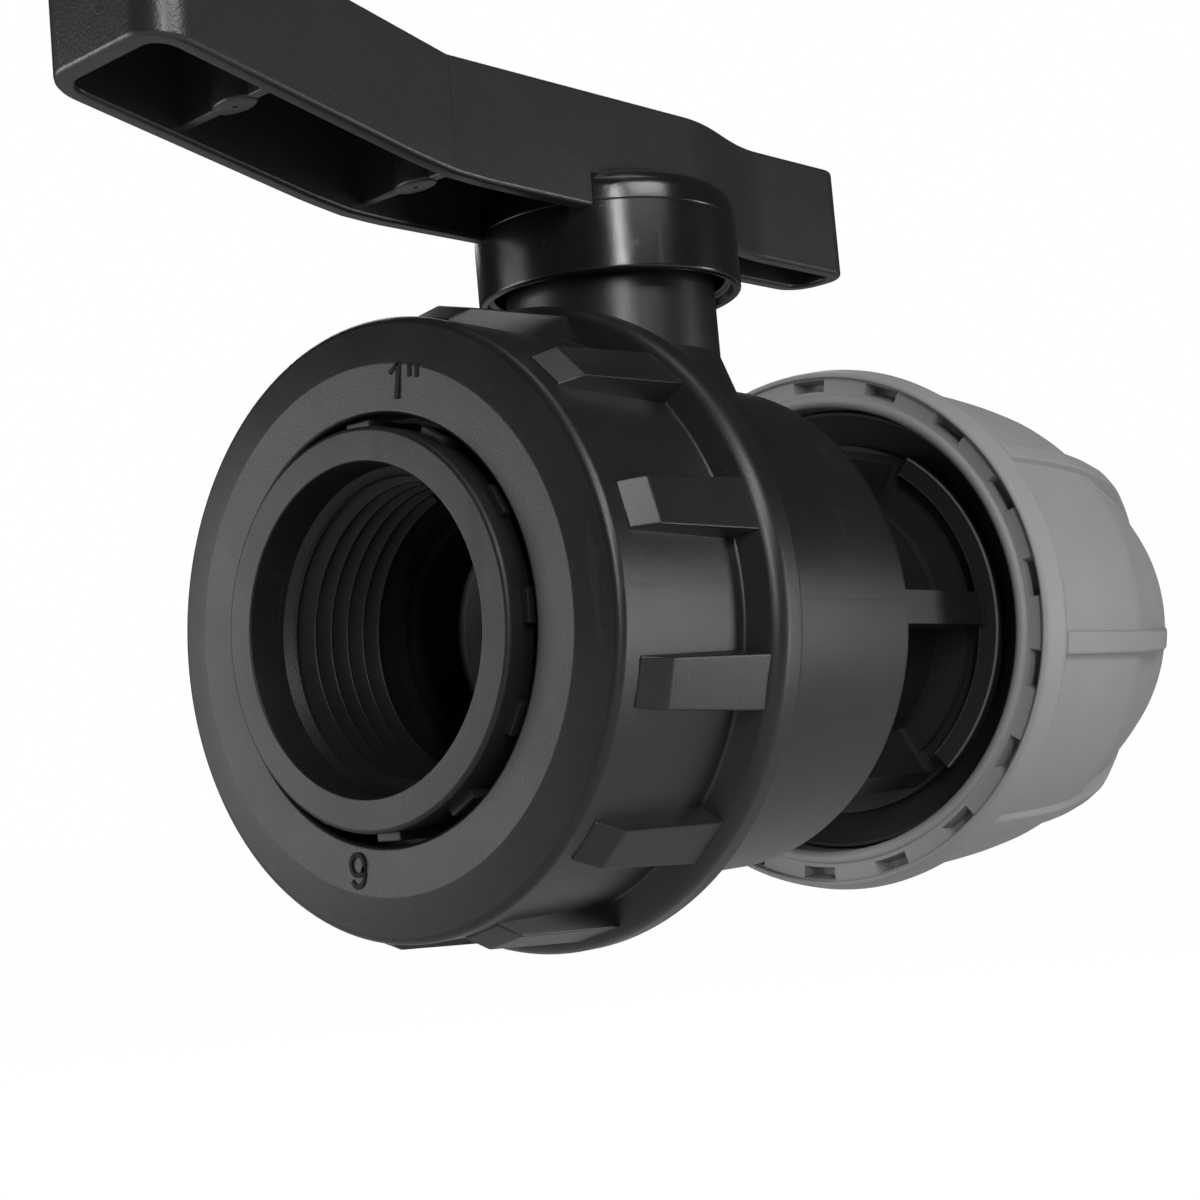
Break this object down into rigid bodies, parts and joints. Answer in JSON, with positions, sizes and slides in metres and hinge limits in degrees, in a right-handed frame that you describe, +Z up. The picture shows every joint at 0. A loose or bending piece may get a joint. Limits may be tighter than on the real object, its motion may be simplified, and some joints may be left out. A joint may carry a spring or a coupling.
{
  "type": "shut-off ball valve",
  "caption": "Union ball valve in black plastic with a hollow crank handle, a threaded union end and a grey compression nut for pipe.",
  "frame": {"origin": "the crossing of the flow axis and the stem axis, at the ball's centre", "axes": "+X along the flow from the threaded union end to the compression end, +Z up along the stem to the handle"},
  "size_m": [0.1638, 0.0702, 0.1005],
  "materials": {
    "black_body": "satin moulded polypropylene",
    "black_nut": "satin moulded polypropylene",
    "black_end": "satin moulded polypropylene",
    "black_handle": "satin moulded polypropylene",
    "black_ball": "polished",
    "grey_nut": "satin moulded polypropylene",
    "white_seat": "smooth fluoropolymer",
    "white_grip": "smooth acetal",
    "black_rubber": "smooth rubber",
    "steel": "plain stainless steel"
  },
  "bodies": {
    "housing": {"valve_body": "black_body", "front_seat": "white_seat", "rear_seat": "white_seat", "front_cushion": "black_rubber", "rear_cushion": "black_rubber", "seat_carrier": "black_body", "carrier_seal": "black_rubber", "thrust_washer": "white_seat", "pipe_seal": "black_rubber", "pressure_bush": "white_grip"},
    "lever": {"handle": "black_handle", "handle_washer": "steel", "handle_screw": "steel", "handle_cap": "black_handle", "stem": "black_body", "stem_seals": "black_rubber", "ball": "black_ball"},
    "threaded_end": {"end_connector": "black_end", "face_seal": "black_rubber"},
    "front_nut": {"union_nut": "black_nut"},
    "clamp": {"grip_ring": "white_grip"},
    "rear_nut": {"compression_nut": "grey_nut"}
  },
  "joints": [
    {"name": "handle_turn", "type": "hinge", "parent": "housing", "child": "lever", "pos_m": [0, 0, 0], "axis": [0, 0, 1], "range_deg": [-90, 0]},
    {"name": "union_slide", "type": "slide", "parent": "housing", "child": "threaded_end", "axis": [-1, 0, 0], "range_m": [0, 0.012]},
    {"name": "union_nut_turn", "type": "hinge", "parent": "threaded_end", "child": "front_nut", "pos_m": [0, 0, 0], "axis": [-1, 0, 0], "range_deg": [0, 1440]},
    {"name": "grip_slide", "type": "slide", "parent": "housing", "child": "clamp", "axis": [1, 0, 0], "range_m": [0, 0.012]},
    {"name": "compression_nut_turn", "type": "hinge", "parent": "clamp", "child": "rear_nut", "pos_m": [0, 0, 0], "axis": [1, 0, 0], "range_deg": [0, 1440]}
  ],
  "couplings": [
    {"joint": "union_slide", "follows": "union_nut_turn", "m_per_rad": 0.00047746},
    {"joint": "grip_slide", "follows": "compression_nut_turn", "m_per_rad": 0.00047746}
  ]
}
